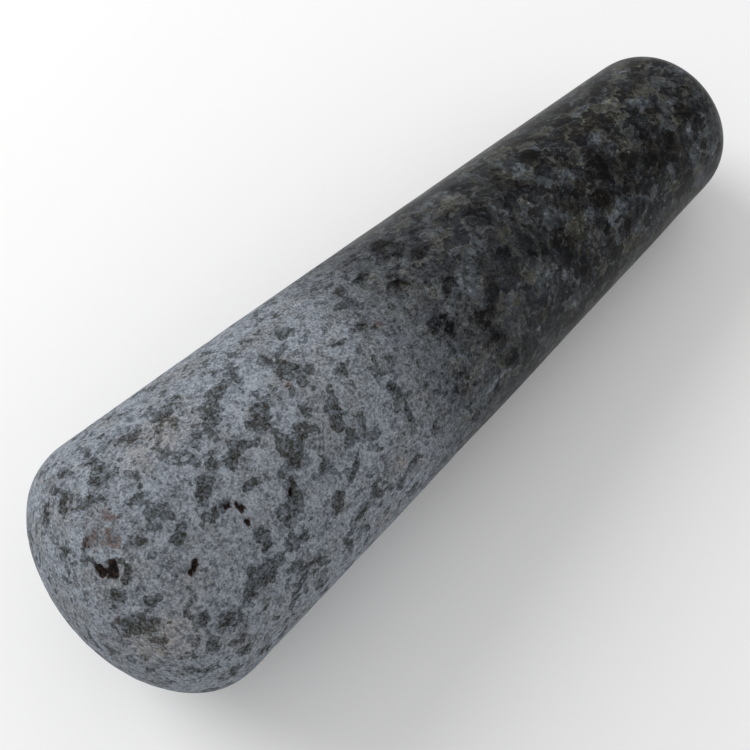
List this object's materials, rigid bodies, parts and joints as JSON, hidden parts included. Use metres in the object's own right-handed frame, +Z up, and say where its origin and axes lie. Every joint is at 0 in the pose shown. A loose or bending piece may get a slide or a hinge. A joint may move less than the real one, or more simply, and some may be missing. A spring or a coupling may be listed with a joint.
{
  "type": "pestle",
  "caption": "Tapered granite pestle with a rounded, coarse grinding head and a polished round-ended handle, for crushing and grinding by hand in a mortar.",
  "frame": {"origin": "on the ground plane, below the middle of the stone's box as it lies on its side", "axes": "+X along the stone from the grinding head to the handle's tail, +Z up; the stone's own axis dips 3.1 degrees towards the tail, because its taper lies flat on the ground"},
  "size_m": [0.1558, 0.0466, 0.0464],
  "materials": {
    "granite": "fine-ground and matte pale blue-grey on the grinding head, polished dark charcoal with grey and brown crystals on the handle"
  },
  "bodies": {
    "root": {"pestle": "granite"}
  },
  "joints": []
}
